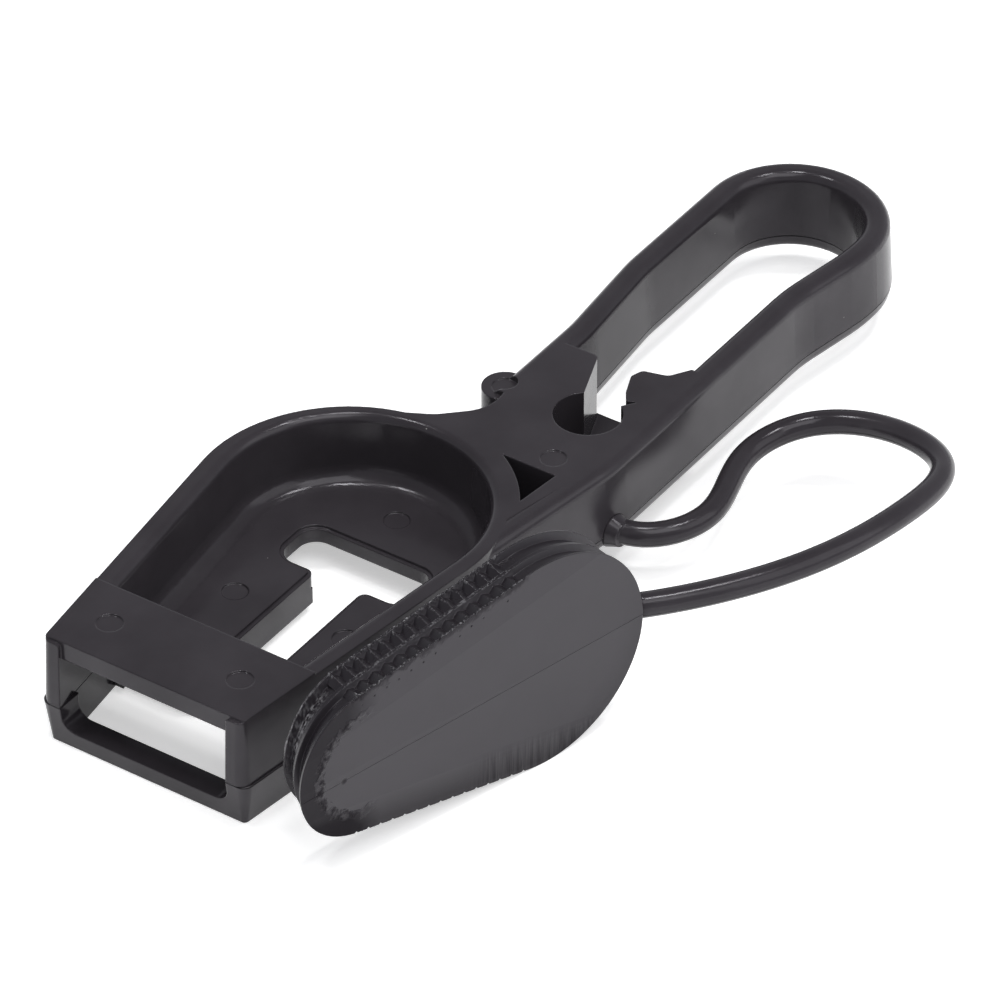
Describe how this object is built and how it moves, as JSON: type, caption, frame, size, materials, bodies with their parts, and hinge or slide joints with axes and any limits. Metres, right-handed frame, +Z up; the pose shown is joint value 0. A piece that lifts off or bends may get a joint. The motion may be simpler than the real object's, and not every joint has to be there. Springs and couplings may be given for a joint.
{
  "type": "drop cable clamp",
  "caption": "Moulded drop cable clamp: teardrop cable pocket with a closed hook loop, and a toothed wedge on a flexible tether.",
  "frame": {"origin": "centre of the hook loop's round end, in the parting plane of the moulding", "axes": "+X from the cable mouth towards the hook loop, +Z up out of the pocket"},
  "size_m": [0.1499, 0.0809, 0.0312],
  "materials": {
    "moulding": "semi-gloss moulded black plastic",
    "tether": "semi-gloss moulded black plastic",
    "wedge": "satin moulded black plastic"
  },
  "bodies": {
    "clamp": {"clamp_body": "moulding", "tether": "tether"},
    "wedge": {"wedge": "wedge"}
  },
  "joints": [
    {"name": "wedge_swing", "type": "hinge", "parent": "clamp", "child": "wedge", "pos_m": [-0.08091, -0.02881, 0.0086], "axis": [0, 0, 1], "range_deg": [0, 60]}
  ]
}
